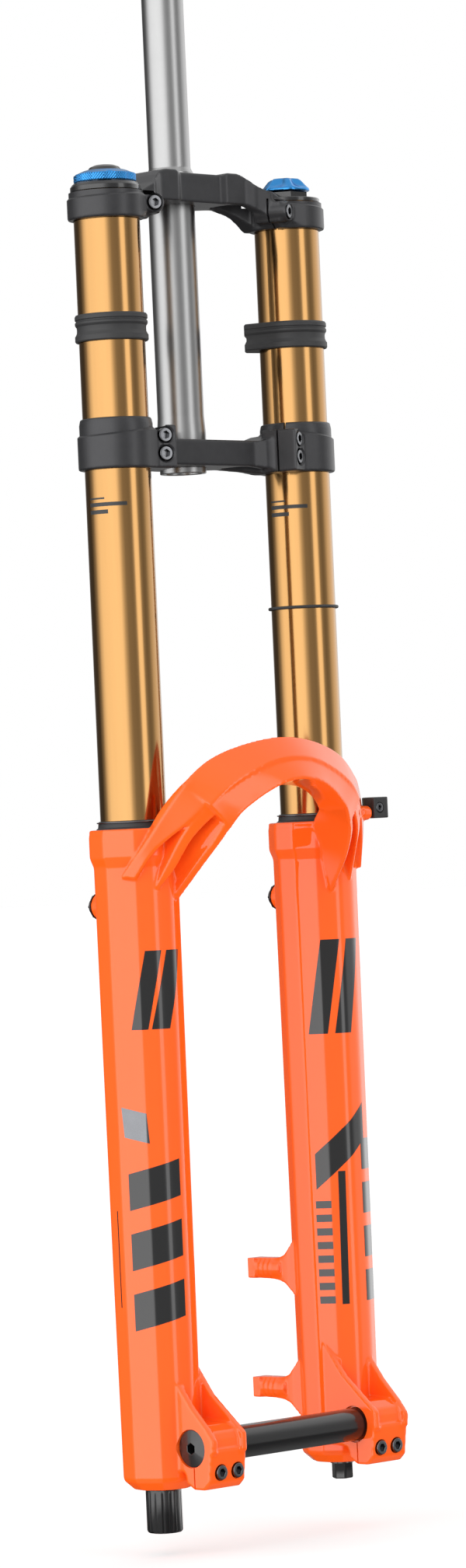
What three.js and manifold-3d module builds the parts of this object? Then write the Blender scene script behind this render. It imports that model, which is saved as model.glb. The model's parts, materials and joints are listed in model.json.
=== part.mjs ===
// Dual-crown bicycle suspension fork, 203 mm of travel, in millimetres, +Z up the steerer.
// The front of the fork faces -Y. The rider's right leg (damper) is at -X, the left leg (air spring) at +X.
// The origin is the centre of the crown-race seat on top of the lower crown.

import * as THREE from 'three';
import { mergeVertices } from 'three/addons/utils/BufferGeometryUtils.js';
import Module from 'manifold-3d';

const wasm = await Module();
wasm.setup();

// ---- driving dimensions ----------------------------------------------------------------------

const TRAVEL = 203;
const LEG_SPACING = 154;            // between the two stanchion axes
const LEG_X = LEG_SPACING / 2;
const LEG_Y = -22.6;                // stanchions sit in front of the steerer
const AXLE_Y = -56;                 // rake
const AXLE_Z = -606.5;              // axle to crown-race seat
const AXLE_R = 10;
const HUB_HALF = 55;                // 110 mm hub
const DROPOUT_OUTER = 84.7;
const GAP = 0.3;                    // clearance between separate pieces

const STANCHION_R = 20;
const STANCHION_BORE = 18.2;
const STANCHION_TOP = 149;
const STANCHION_END = -405;
const STEERER_R = 14.3;
const STEERER_BORE = 11.4;
const STEERER_TOP = 300;

const LOWER_CROWN = { bottom: -19.5, shoulder: 5.5, top: 11.5 };
const UPPER_CROWN = { bottom: 131.4, top: 148.2, hubBottom: 145.5, hubTop: 164.5 };
const CLAMP_R = 23.6;

const LEG_TOP = -235.7;             // top rim of the lower leg's collar
const COLLAR_R = 27;
const COLLAR_H = 16.5;
const LEG_R = 25.2;                 // across the facets under the collar
const LEG_END = -632;
const LEG_END_SCALE = 0.94;
const LEG_BORE = 21.4;
const FLOOR_Z = -618;

const BLEEDER_Z = -281.7;
const POST_X = 60;
const POST_Z = [-512.5, -586.7];    // 74.2 mm apart
const POST_FACE_Y = 29.5;

// ---- colours and materials ---------------------------------------------------------------------

const LOOK = {
  paint: [0xff6428, 0.22, 0.0],
  gold: [0xc98a3a, 0.18, 0.9],
  crown: [0x2c2c2e, 0.45, 0.5],
  steerer: [0xa9a7a2, 0.4, 0.9],
  blue: [0x2f7fd0, 0.25, 0.8],
  black: [0x151516, 0.3, 0.6],
  rubber: [0x1c1c1d, 0.75, 0.0],
  steel: [0x6a6c70, 0.3, 0.9],
  alloy: [0xb9bbbd, 0.35, 0.9],
  foam: [0x3a3a3c, 0.95, 0.0],
  plastic: [0x202122, 0.5, 0.0],
  brass: [0xb59a55, 0.35, 0.9],
};

const group = new THREE.Group();
group.name = 'suspension_fork';

function part(name, look, shape) {
  const [color, roughness, metalness] = LOOK[look];
  const geometry = shape.isBufferGeometry ? shape : fromManifold(shape);
  const mesh = new THREE.Mesh(geometry, new THREE.MeshStandardMaterial({ color, roughness, metalness }));
  mesh.name = name;
  group.add(mesh);
  return mesh;
}

// ---- solid helpers -----------------------------------------------------------------------------

function clean(geometry) {
  const g = geometry.index ? geometry.clone() : geometry;
  g.deleteAttribute('normal');
  g.deleteAttribute('uv');
  return mergeVertices(g, 1e-4);
}

// Booleans stay in manifold form until a part is made, so nothing is rounded between them.
function asSolid(shape) {
  if (!shape.isBufferGeometry) return shape;
  const g = clean(shape);
  const mesh = new wasm.Mesh({
    numProp: 3,
    vertProperties: new Float32Array(g.attributes.position.array),
    triVerts: new Uint32Array(g.index.array),
  });
  return new wasm.Manifold(mesh);
}

function fromManifold(solid) {
  const mesh = solid.getMesh();
  const g = new THREE.BufferGeometry();
  g.setAttribute('position', new THREE.BufferAttribute(new Float32Array(mesh.vertProperties), 3));
  g.setIndex(new THREE.BufferAttribute(new Uint32Array(mesh.triVerts), 1));
  g.computeVertexNormals();
  return g;
}

function join(...shapes) {
  return shapes.map(asSolid).reduce((a, b) => a.add(b));
}

function cut(body, ...tools) {
  return asSolid(body).subtract(join(...tools));
}

function at(geometry, x, y, z) {
  return geometry.translate(x, y, z);
}

// A cylinder standing on z = from and ending at z = to.
function rod(radius, from, to, segments = 20, topRadius = radius) {
  const g = new THREE.CylinderGeometry(topRadius, radius, to - from, segments);
  return g.rotateX(Math.PI / 2).translate(0, 0, (from + to) / 2);
}

// A closed profile of [radius, z] points spun round the Z axis.
function spin(profile, segments = 20) {
  const loop = [...profile, profile[0]].map(([r, z]) => new THREE.Vector2(r, z));
  return facingOut(new THREE.LatheGeometry(loop, segments).rotateX(Math.PI / 2));
}

function ring(inner, outer, from, to, segments = 20) {
  return spin([[inner, from], [outer, from], [outer, to], [inner, to]], segments);
}

function box(x0, x1, y0, y1, z0, z1) {
  return new THREE.BoxGeometry(x1 - x0, y1 - y0, z1 - z0)
    .translate((x0 + x1) / 2, (y0 + y1) / 2, (z0 + z1) / 2);
}

// Stations are closed loops of the same number of [x, y, z] points; the first and last are capped.
function loft(stations) {
  const n = stations[0].length;
  const positions = stations.flat(2);
  const faces = [];
  for (let s = 0; s + 1 < stations.length; s++) {
    for (let i = 0; i < n; i++) {
      const a = s * n + i;
      const b = s * n + (i + 1) % n;
      faces.push(a, b, b + n, a, b + n, a + n);
    }
  }
  const last = (stations.length - 1) * n;
  for (let i = 1; i + 1 < n; i++) {
    faces.push(0, i + 1, i, last, last + i, last + i + 1);
  }
  const g = new THREE.BufferGeometry();
  g.setAttribute('position', new THREE.Float32BufferAttribute(positions, 3));
  g.setIndex(faces);
  return facingOut(g);
}

// Turns a closed mesh right side out when its signed volume is negative.
function facingOut(g) {
  const p = g.attributes.position;
  const index = Array.from(g.index.array);
  const [a, b, c] = [new THREE.Vector3(), new THREE.Vector3(), new THREE.Vector3()];
  let volume = 0;
  for (let i = 0; i < index.length; i += 3) {
    a.fromBufferAttribute(p, index[i]);
    b.fromBufferAttribute(p, index[i + 1]);
    c.fromBufferAttribute(p, index[i + 2]);
    volume += a.dot(b.cross(c));
  }
  if (volume < 0) g.setIndex(index.reverse());
  return g;
}

// A [y, z] outline pushed along X from x0 to x1.
function sidePlate(outline, x0, x1) {
  const [low, high] = [Math.min(x0, x1), Math.max(x0, x1)];
  const shape = new THREE.Shape(outline.map(([y, z]) => new THREE.Vector2(y, z)));
  const g = new THREE.ExtrudeGeometry(shape, { depth: high - low, bevelEnabled: false });
  g.applyMatrix4(new THREE.Matrix4().set(0, 0, 1, low, 1, 0, 0, 0, 0, 1, 0, 0, 0, 0, 0, 1));
  return g;
}

// An [x, y] outline pushed up along Z.
function plan(outline, from, to) {
  const shape = new THREE.Shape(outline.map(([x, y]) => new THREE.Vector2(x, y)));
  return new THREE.ExtrudeGeometry(shape, { depth: to - from, bevelEnabled: false }).translate(0, 0, from);
}

// Puts a solid made along +Z so that its +Z points along a direction from a given point.
function aim(geometry, point, direction) {
  const turn = new THREE.Quaternion().setFromUnitVectors(
    new THREE.Vector3(0, 0, 1), new THREE.Vector3(...direction).normalize());
  return geometry.applyQuaternion(turn).translate(...point);
}

// Mirrors [x, y, ...] points to the chosen side.
const sided = (side, points) => points.map(([x, ...rest]) => [side * x, ...rest]);
const label = side => (side < 0 ? 'right' : 'left');
const SIDES = [-1, 1];
const onLeg = (side, geometry) => at(geometry, side * LEG_X, LEG_Y, 0);

// ---- lower-leg casting -------------------------------------------------------------------------

// Facets of the leg, as directions round its axis in degrees and distances; 0 points to the wheel
// and 270 to the front, on the right leg.
const LEG_FACETS = [[0, 24.6], [30, 24.8], [65, 25], [100, 24.6], [135, 25], [168, 24.8], [205, 24.2],
  [240, 24.8], [265, 24.8], [298, 24.8], [330, 24.8]];

function legSection() {
  return LEG_FACETS.map(([angle, distance], i) => {
    const [nextAngle, nextDistance] = LEG_FACETS[(i + 1) % LEG_FACETS.length];
    const [a, b] = [angle, nextAngle].map(THREE.MathUtils.degToRad);
    const det = Math.cos(a) * Math.sin(b) - Math.sin(a) * Math.cos(b);
    return [
      (distance * Math.sin(b) - nextDistance * Math.sin(a)) / det,
      (nextDistance * Math.cos(a) - distance * Math.cos(b)) / det,
    ];
  });
}

function leg(side) {
  const section = legSection();
  const station = (z, scale) => section.map(([x, y]) => [side * (scale * x - LEG_X), scale * y + LEG_Y, z]);
  const shank = loft([
    station(LEG_TOP - COLLAR_H + 2, 1),
    station(-520, 0.965),
    station(LEG_END + 7, LEG_END_SCALE),
    station(LEG_END, 0.68),
  ]);
  const collar = at(spin([
    [0, LEG_TOP], [COLLAR_R, LEG_TOP], [COLLAR_R, LEG_TOP - COLLAR_H],
    [LEG_R, LEG_TOP - COLLAR_H - 5], [0, LEG_TOP - COLLAR_H - 12],
  ]), side * LEG_X, LEG_Y, 0);
  const bleederBoss = aim(rod(8.8, 0, 12.6, 20, 7.8), [side * LEG_X, LEG_Y + 20, BLEEDER_Z], [0, 1, 0]);
  return join(shank, collar, bleederBoss);
}

// The arch runs in front of the stanchions. Each station from the middle outwards holds its top edge,
// ridge, lower front edge and lower back edge.
const ARCH = [
  [[0, -76, -183.5], [0, -87, -196.5], [0, -94, -210], [0, -69, -213.5]],
  [[22, -74.8, -186.5], [18, -86.5, -198.5], [14, -93, -212], [16, -66, -214]],
  [[42.5, -71.5, -192.5], [35, -84.8, -204.5], [26, -90.5, -217], [30, -60, -216]],
  [[57, -68.6, -198.5], [48, -82.5, -211], [36, -87.3, -223], [41, -55, -219]],
  [[67, -66, -205], [57, -80, -217], [45, -83.7, -230], [49, -52, -223.5]],
  [[75, -63.5, -212], [65, -76, -224], [51, -79.5, -239], [55, -50, -230]],
];

function arch() {
  const right = ARCH.slice(1).reverse().map(station => sided(-1, station));
  return loft([...right, ...ARCH]);
}

// Three ribs carry each end of the arch into the leg. Each is a fin, given by the two lines of its
// outer edge and by how far from the leg's axis its foot lies at each station.
const RIBS = [
  [ // outer strap
    [[75, -64, -214], [65, -75.2, -224], 30],
    [[83.5, -57.5, -226], [76, -66, -232], 27],
    [[92, -48, -243], [88.7, -51.5, -246], 22],
    [[101, -32, -264.5], [95, -41, -266], 22],
  ],
  [ // ridge
    [[59, -78.6, -216], [53, -79.6, -224], 33],
    [[74, -66.5, -236], [69.5, -68, -242], 24],
    [[80.5, -55, -256], [76.5, -57, -261], 22],
    [[84.5, -47, -271], [82, -47.4, -273], 22],
  ],
  [ // inner
    [[46, -82, -222], [44.5, -83, -229.5], 36],
    [[56.5, -77, -238], [54.3, -76.4, -244.5], 24],
    [[62, -66, -256], [60.5, -65, -259.5], 22],
    [[66.5, -47, -277], [65, -47, -279.5], 22],
  ],
];

// The web closes the pockets between the ribs on the wheel side.
const WEB = [
  [[37, -86, -222], [41, -85, -221], [45, -55, -218], [41, -57, -219]],
  [[46, -82.5, -230.5], [50, -81.5, -229], [56, -52, -226], [52, -53, -227]],
  [[54, -76.6, -244], [58, -74.6, -242], [60, -42, -237], [56, -43, -237]],
  [[60.3, -65.4, -259.5], [64.3, -63.4, -257.5], [65, -40, -252], [61, -41, -252]],
  [[65, -47, -279.5], [69, -46, -277.5], [68, -36, -270], [64, -38, -270]],
];

function archRibs(side) {
  const foot = ([x, y, z], distance) => {
    const away = new THREE.Vector2(x - LEG_X, y - LEG_Y).setLength(distance);
    return [LEG_X + away.x, LEG_Y + away.y, z];
  };
  const fins = RIBS.map(stations => loft(stations.map(([a, b, reach]) =>
    sided(side, [a, b, foot(b, reach), foot(a, reach)]))));
  return join(...fins, loft(WEB.map(station => sided(side, station))));
}

// The dropout hangs in front of the foot: a split clamp round the axle between two tapering walls.
function dropout(side) {
  const clamp = sidePlate([
    [-34, -592], [-64, -592.5], [-71, -597], [-73.5, -602], [-70.5, -627],
    [-66, -631], [-57, -631], [-51, -627.5], [-49.5, -621], [-34, -618],
  ], side * HUB_HALF, side * DROPOUT_OUTER);
  const outer = sidePlate([
    [-34, -561], [-43.5, -565.5], [-56, -581.5], [-68.5, -594], [-74.5, -601.5], [-74, -610], [-34, -610],
  ], side * DROPOUT_OUTER, side * (DROPOUT_OUTER - 4.4));
  const inner = sidePlate([
    [-26, -548], [-36, -561.5], [-48, -577], [-63, -589.5], [-74, -598.5], [-74, -610], [-26, -610],
  ], side * HUB_HALF, side * (HUB_HALF + 4.4));
  return join(clamp, outer, inner);
}

function dropoutCuts(side) {
  const along = (radius, from, to, y, z, segments) =>
    aim(rod(radius, from, to, segments), [0, y, z], [side, 0, 0]);
  return [
    along(AXLE_R + 0.3, HUB_HALF - 5, 110, AXLE_Y, AXLE_Z, 24),
    along(11.3, HUB_HALF - 5, HUB_HALF + 2, AXLE_Y, AXLE_Z, 24),
    along(11.6, DROPOUT_OUTER - 1.8, 110, AXLE_Y, AXLE_Z, 24),
    box(...ordered(side * (HUB_HALF - 1), side * (DROPOUT_OUTER + 1)), -58.4, -57.4, -640, AXLE_Z),
    ...PINCH_X.flatMap(x => [
      aim(rod(5, 0, 20, 16), [side * x, PINCH_SEAT_Y, PINCH_Z], [0, -1, 0]),
      aim(rod(2.6, -18, 2, 12), [side * x, PINCH_SEAT_Y, PINCH_Z], [0, -1, 0]),
    ]),
  ];
}

const ordered = (a, b) => [Math.min(a, b), Math.max(a, b)];
const PINCH_X = [61.9, 75.6];
const PINCH_Z = -620.8;
const PINCH_SEAT_Y = -68.5;

// Brake tabs stand on the back of the left leg, each with a ribbed threaded boss.
function brakeTab(z) {
  const web = sidePlate([
    [POST_FACE_Y, z + 6.3], [4, z + 6.8], [-2, z + 15], [-14, z + 15], [-14, z - 22],
    [-4, z - 20], [6, z - 9.5], [POST_FACE_Y, z - 6.3],
  ], POST_X - 3.2, POST_X + 5.5);
  const boss = aim(rod(6.2, -22, 0, 20), [POST_X, POST_FACE_Y - 5, z], [0, 1, 0]);
  const face = box(POST_X - 6, POST_X + 6, POST_FACE_Y - 6, POST_FACE_Y, z - 6.3, z + 6.3);
  return join(web, boss, face);
}

function legCuts(side) {
  const bore = [
    rod(LEG_BORE, FLOOR_Z, LEG_TOP + 0.1),
    rod(23.4, LEG_TOP - 9, LEG_TOP + 5),
    rod(5.4, LEG_END - 5, FLOOR_Z + 1, 20),
  ].map(g => at(g, side * LEG_X, LEG_Y, 0));
  const bleeder = aim(rod(4.2, -12, 12, 16), [side * LEG_X, LEG_Y + 25, BLEEDER_Z], [0, 1, 0]);
  return [...bore, bleeder];
}

const HOSE_BOSS = [91, -56, -232];

function casting() {
  const solids = [
    ...SIDES.flatMap(side => [leg(side), archRibs(side), dropout(side)]),
    arch(),
    ...POST_Z.map(brakeTab),
    aim(rod(4.5, -8, 0, 16), HOSE_BOSS, [1, 0.1, 0]),
  ];
  const cuts = [
    ...SIDES.flatMap(side => [...legCuts(side), ...dropoutCuts(side)]),
    ...POST_Z.map(z => aim(rod(2.6, -18, 1, 12), [POST_X, POST_FACE_Y, z], [0, 1, 0])),
  ];
  return cut(join(...solids), ...cuts);
}

part('lower_legs', 'paint', casting());

// ---- crowns ------------------------------------------------------------------------------------

// Half of each crown's outline seen from above, from the middle of its front face round to the back.
const CROWN_PLAN = [
  [0, -28.5], [34, -28.5], [43, -31], [50, -38], [77, -38], [77, -6], [60, -4.5], [48, -3],
  [32, 6], [23, 15], [13, 22], [0, 24],
];
const PINCH_TURN = THREE.MathUtils.degToRad(20);     // pinch bolts face forwards and outwards
const SLOT = [53.4, -33.95];                         // where the bolt axis crosses the clamp's slot
const PINCH_REACH = 12.2;                            // from the slot to the bolt head's outer face
const CROWN_BOLTS = { lower: [0.4, -10.7], upper: [140.8] };

function crownBlank(elevation) {
  const [low, high] = [Math.min(...elevation.map(p => p[1])), Math.max(...elevation.map(p => p[1]))];
  const back = half => half.slice(half[0][0] === 0 ? 1 : 0).reverse().map(([a, b]) => [-a, b]);
  const across = plan([...CROWN_PLAN, ...back(CROWN_PLAN.slice(0, -1))], low - 1, high + 1);
  const shape = [...elevation, ...back(elevation)];
  const front = plan(shape, -40, 40).rotateX(Math.PI / 2);
  return asSolid(across).intersect(asSolid(front));
}

// Turns a solid made round the slot point, with -Y along the pinch bolt, into its place on a side.
function atSlot(geometry, side) {
  const g = geometry.rotateZ(PINCH_TURN).translate(SLOT[0], SLOT[1], 0);
  return side > 0 ? g : facingOut(g.scale(-1, 1, 1));
}

const boltLine = (radius, from, to, z, segments = 12) =>
  rod(radius, -to, -from, segments).rotateX(-Math.PI / 2).translate(0, 0, z);

function crownCuts(side, from, to, boltHeights) {
  const slot = atSlot(box(-26, 8, -0.6, 0.6, from - 1, to + 1), side);
  const bolts = boltHeights.flatMap(z => [
    atSlot(boltLine(2.8, -10, PINCH_REACH + 1, z), side),
    atSlot(boltLine(4.7, PINCH_REACH - 5.4, PINCH_REACH + 12, z, 16), side),
  ]);
  const bore = at(rod(STANCHION_R + GAP, from - 1, to + 8), side * LEG_X, LEG_Y, 0);
  return [slot, ...bolts, bore];
}

// A pocket milled into the underside of each arm leaves a front and a back wall.
function armPocket(side, floor, roof) {
  const outline = [[27, -22], [40, -24], [52, -24], [54, -16], [44, -8], [32, -1], [26, -8]];
  return plan(sided(side, outline), floor, roof);
}

function lowerCrown() {
  const { bottom, shoulder, top } = LOWER_CROWN;
  const blank = crownBlank([
    [0, 0], [38, 0], [47, 1.5], [56, 4.5], [66, 5.5], [77, 5.5],
    [77, bottom], [56, bottom], [45, -17.5], [32, -15.8], [0, -15.8],
  ]);
  const clamps = SIDES.flatMap(side => [
    onLeg(side, spin([[0, bottom], [CLAMP_R, bottom], [CLAMP_R, shoulder],
      [CLAMP_R - 1.6, shoulder + 1], [CLAMP_R - 2.2, top], [0, top]])),
    atSlot(box(-7, 9, -PINCH_REACH, 11, bottom, shoulder + 1), side),
  ]);
  const cuts = SIDES.flatMap(side => [
    ...crownCuts(side, bottom, top, CROWN_BOLTS.lower),
    armPocket(side, bottom - 1, -4.5),
  ]);
  return cut(join(blank, ...clamps), ...cuts, rod(STEERER_R + GAP, bottom - 1, 5));
}

const STEM_HOLES = [[-13, -20.8], [13, -20.8]];      // threads for a direct-mount stem
const STEERER_PINCH_Z = 156;

function upperCrown() {
  const { bottom, top, hubBottom, hubTop } = UPPER_CROWN;
  const blank = crownBlank([
    [0, hubTop], [33, hubTop], [42, 162.5], [49, 159.5], [57, 154], [66, top], [77, top],
    [77, bottom], [57, bottom], [53, 137], [47, 143], [38, hubBottom + 1.5], [0, hubBottom],
  ]);
  const clamps = SIDES.flatMap(side => [
    onLeg(side, spin([[0, bottom], [CLAMP_R, bottom], [CLAMP_R, top - 1], [CLAMP_R - 1, top], [0, top]])),
    atSlot(box(-5, 9, -PINCH_REACH + 3, 10, bottom + 3, top - 1), side),
    atSlot(boltLine(7.4, -10, PINCH_REACH, CROWN_BOLTS.upper[0], 16), side),
  ]);
  const steererClamp = box(-11, 11, 16, 33, hubBottom + 2, hubTop);
  const cuts = SIDES.flatMap(side => [
    ...crownCuts(side, bottom, top, CROWN_BOLTS.upper),
    onLeg(side, rod(22, top, top + 20)),
    armPocket(side, bottom - 1, hubBottom + 5),
  ]);
  return cut(join(blank, ...clamps, steererClamp), ...cuts,
    rod(STEERER_R + GAP, bottom, hubTop + 1),
    box(-0.7, 0.7, 10, 40, bottom, hubTop + 5),
    aim(rod(2.8, -12, 12, 16), [0, 26, STEERER_PINCH_Z], [1, 0, 0]),
    aim(rod(4.7, 5.5, 20, 20), [0, 26, STEERER_PINCH_Z], [1, 0, 0]),
    ...STEM_HOLES.map(([x, y]) => at(rod(2.6, hubTop - 12, hubTop + 1, 12), x, y, 0)));
}

// A socket-head bolt along +Z, with the outer face of its head at z = 0.
function bolt(headR, headH, shankR, length, socketR = headR * 0.5) {
  const solid = join(rod(headR, -headH, 0, 12), rod(shankR, -length, -headH + 0.1, 8));
  return cut(solid, rod(socketR, -headH * 0.6, 1, 6));
}

const placed = (solid, move) => move(fromManifold(solid));

function crownBolt(side, z) {
  const [s, c] = [Math.sin(PINCH_TURN), Math.cos(PINCH_TURN)];
  const head = [side * (SLOT[0] + s * PINCH_REACH), SLOT[1] - c * PINCH_REACH, z];
  return placed(bolt(4.2, 4.8, 2.4, 21), g => aim(g, head, [side * s, -c, 0]));
}

part('steerer_tube', 'steerer', spin([
  [STEERER_BORE, -19], [STEERER_R, -19], [STEERER_R, 0.2], [15, 0.5], [15, 6], [STEERER_R, 16],
  [STEERER_R, 166], [12.9, 169], [12.9, STEERER_TOP], [STEERER_BORE, STEERER_TOP],
]));
part('lower_crown', 'crown', lowerCrown());
part('upper_crown', 'crown', upperCrown());
for (const side of SIDES) {
  CROWN_BOLTS.lower.forEach((z, i) =>
    part(`lower_crown_bolt_${label(side)}_${i ? 'low' : 'high'}`, 'steel', crownBolt(side, z)));
  part(`upper_crown_bolt_${label(side)}`, 'steel', crownBolt(side, CROWN_BOLTS.upper[0]));
}
part('steerer_clamp_bolt', 'steel',
  placed(bolt(4.2, 4.8, 2.4, 20), g => aim(g, [10.6, 26, STEERER_PINCH_Z], [1, 0, 0])));

// ---- stanchions and what they hold -------------------------------------------------------------

for (const side of SIDES) {
  part(`stanchion_${label(side)}`, 'gold', onLeg(side, spin([
    [STANCHION_BORE, STANCHION_END], [STANCHION_R - 0.8, STANCHION_END],
    [STANCHION_R, STANCHION_END + 2], [STANCHION_R, STANCHION_TOP], [STANCHION_BORE, STANCHION_TOP],
  ])));

  // Rubber bumper that meets the frame at full steering lock: three ridges and a pad at the back.
  const sleeve = ring(20.4, 22, 57.8, 74.2);
  const pad = box(18, 29.5, -8.5, 8.5, 58.6, 73.4).rotateZ(THREE.MathUtils.degToRad(135));
  const bumper = cut(join(sleeve, pad), rod(20.4, 50, 80));
  part(`frame_bumper_${label(side)}`, 'rubber', placed(bumper, g =>
    onLeg(side, side > 0 ? g : facingOut(g.scale(-1, 1, 1)))));
}

// Damper leg: top cap with the two compression knobs, and the cartridge below it.
part('damper_top_cap', 'black', onLeg(-1, spin([
  [9, 128], [17.9, 128], [17.9, 149.3], [21.3, 149.3], [21.3, 151.2], [19.8, 153.2], [5.4, 153.2],
  [5.4, 138], [9, 138],
])));

function highSpeedKnob() {
  const lobes = Array.from({ length: 16 }, (_, i) => {
    const a = (i + 0.5) * Math.PI / 8;
    const r = i % 2 ? 19 : 18.2;
    return [r * Math.cos(a), r * Math.sin(a)];
  });
  const grip = plan(lobes, 153.6, 158);
  const cone = rod(17.6, 157.9, 161, 16, 12.6);
  return cut(join(grip, cone), rod(11, 157, 162, 20), rod(4.6, 150, 160, 16));
}
part('high_speed_compression_knob', 'blue', placed(highSpeedKnob(), g => onLeg(-1, g)));
part('low_speed_compression_dial', 'black', onLeg(-1, spin([
  [0, 139], [4.1, 139], [4.1, 157.4], [10.5, 157.4], [10.5, 161.6], [8.4, 163.7], [4.6, 164.8], [0, 165],
], 20)));
part('damper_cartridge', 'alloy', onLeg(-1, spin([
  [12.4, -385], [14, -385], [14, 127.5], [12.4, 127.5],
])));
part('base_valve', 'brass', onLeg(-1, spin([
  [0, 84], [12, 84], [12, 92], [4, 92], [4, 127.6], [0, 127.6]], 20)));
part('damper_seal_head', 'alloy', onLeg(-1, spin([
  [5.3, -394], [17.6, -394], [17.6, -385.3], [5.3, -385.3],
])));

// Air leg: top cap, valve and the screw-on blue cap over it.
part('air_top_cap', 'black', onLeg(1, join(
  spin([[6.4, 126], [17.9, 126], [17.9, 149.3], [21.3, 149.3], [21.3, 151], [6.4, 151]]),
  cut(rod(14, 150.5, 155.6, 6), rod(6.4, 149, 156)),
)));
part('air_valve', 'brass', onLeg(1, spin([
  [1.2, 128], [6, 128], [6, 150], [3.9, 151], [3.9, 158], [1.2, 158]], 16)));

function airCap() {
  const lobes = Array.from({ length: 12 }, (_, i) => {
    const a = i * Math.PI / 6;
    const r = i % 2 ? 14.6 : 15.8;
    return [r * Math.cos(a), r * Math.sin(a)];
  });
  return cut(join(plan(lobes, 156, 158.4), rod(14.2, 158.3, 161.6, 12, 9.4), rod(9.4, 161.5, 164.4, 12, 4)),
    rod(4.5, 150, 159.4, 12));
}
part('air_valve_cap', 'blue', placed(airCap(), g => onLeg(1, g)));
part('volume_spacer', 'plastic', onLeg(1, ring(3, 16.5, 106, 125.6, 20)));
part('air_seal_head', 'alloy', onLeg(1, spin([
  [5.3, -400], [17.6, -400], [17.6, -386], [5.3, -386],
])));

// ---- what rides with the lower legs -------------------------------------------------------------

const WIPER_TOP = -230.7;
for (const side of SIDES) {
  part(`wiper_seal_${label(side)}`, 'rubber', onLeg(side, spin([
    [20.3, -242], [23.1, -242], [23.1, -235.9], [21.2, -235.4], [21.2, WIPER_TOP], [20.3, WIPER_TOP],
  ])));
  part(`wiper_spring_${label(side)}`, 'steel', onLeg(side, spin([
    [21.5, -232], [22.3, -231.5], [21.5, -231]])));
  part(`foam_ring_${label(side)}`, 'foam', onLeg(side, ring(20.3, 21.1, -254, -245.2)));
  part(`upper_bushing_${label(side)}`, 'alloy', onLeg(side, ring(20.3, 21.1, -277, -256)));
  part(`lower_bushing_${label(side)}`, 'alloy', onLeg(side, ring(20.3, 21.1, -396, -375)));

  const bleeder = [side * LEG_X, LEG_Y, BLEEDER_Z];
  part(`bleeder_body_${label(side)}`, 'black', placed(join(
    ring(1.9, 3.9, 23.6, 34, 12), spin([[1.9, 32.9], [8.2, 32.9], [8.2, 34.4], [4.4, 36.4], [1.9, 36.4]], 12),
  ), g => aim(g, bleeder, [0, 1, 0])));
  part(`bleeder_button_${label(side)}`, 'steel', aim(spin([
    [0, 24.5], [1.5, 24.5], [1.5, 37.6], [2.4, 38.2], [2.4, 39.2], [0, 39.2]], 12), bleeder, [0, 1, 0]));
}

// Through-axle: a plain shaft with a flanged head on the right and threads in the left dropout.
part('axle', 'black', placed(cut(
  join(rod(AXLE_R, -DROPOUT_OUTER + 1.5, DROPOUT_OUTER - 0.5, 24),
    rod(11.2, -DROPOUT_OUTER - 0.3, -DROPOUT_OUTER + 1.5, 24)),
  rod(3, -90, -72, 6), rod(6.5, 60, 90, 16),
), g => aim(g, [0, AXLE_Y, AXLE_Z], [1, 0, 0])));

for (const side of SIDES) {
  PINCH_X.forEach((x, i) => part(`dropout_bolt_${label(side)}_${i ? 'outer' : 'inner'}`, 'steel',
    placed(bolt(4.3, 4, 2.3, 20), g => aim(g, [side * x, PINCH_SEAT_Y - 4.3, PINCH_Z], [0, -1, 0]))));
}

// Brake-hose guide on the left end of the arch: a black clip held by one small bolt.
const [guideX, guideY, guideZ] = HOSE_BOSS;
part('hose_guide', 'plastic', cut(
  box(guideX + 0.8, guideX + 15, guideY - 5.5, guideY + 10, guideZ - 3.5, guideZ + 9.5),
  at(rod(3.2, guideZ - 10, guideZ + 20, 16), guideX + 10.5, guideY + 6, 0),
  aim(rod(3.4, -2.6, 10, 16), [guideX + 6, guideY - 5.5, guideZ + 3], [0, -1, 0]),
  aim(rod(1.7, -12, 0, 12), [guideX + 6, guideY - 5.5, guideZ + 3], [0, -1, 0])));
part('hose_guide_bolt', 'steel', placed(bolt(3, 2, 1.4, 9.5),
  g => aim(g, [guideX + 6, guideY - 5.5, guideZ + 3], [0, -1, 0])));

// Damper rod and piston, bolted through the foot of the right leg with the rebound adjusters below.
part('damper_rod', 'steel', onLeg(-1, ring(2.4, 5, -637, -372, 16)));
part('damper_piston', 'brass', onLeg(-1, ring(5.3, 12.1, -376, -366)));
part('rebound_metering_rod', 'alloy', onLeg(-1, rod(1.9, -645.3, -380, 10)));
part('foot_nut', 'black', onLeg(-1, fromManifold(cut(rod(9, -637.6, -632.6, 6), rod(5.3, -640, -630, 16)))));
part('low_speed_rebound_knob', 'black', onLeg(-1, rod(5.4, -652, -645.6, 12)));
part('high_speed_rebound_knob', 'blue', onLeg(-1, spin([
  [5.8, -645.2], [8.4, -645.2], [8.4, -638.4], [2.4, -638.4], [2.4, -643], [5.8, -643]], 12)));
part('rebound_cap', 'black', onLeg(-1, spin([
  [0, -658.8], [10, -658.8], [10.9, -657.8], [10.9, -632.4], [9.4, -632.4], [9.4, -656.4], [0, -656.4],
])));

// Air shaft, piston and bottom-out bumper, bolted through the foot of the left leg.
part('air_shaft', 'steel', onLeg(1, rod(5, -617.7, -262, 16)));
part('air_piston', 'alloy', onLeg(1, spin([
  [0, -261.6], [17.7, -261.6], [17.7, -250], [8, -250], [8, -254], [0, -254]])));
part('top_out_bumper', 'rubber', onLeg(1, ring(5.4, 11, -290, -268, 16)));
part('bottom_out_bumper', 'rubber', onLeg(1, ring(5.4, 14.5, -616, -604.5, 16)));
part('air_foot_bolt', 'black', onLeg(1, join(
  rod(6.2, -643.5, -632.6, 6), rod(4.6, -633, -618, 12))));

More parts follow.
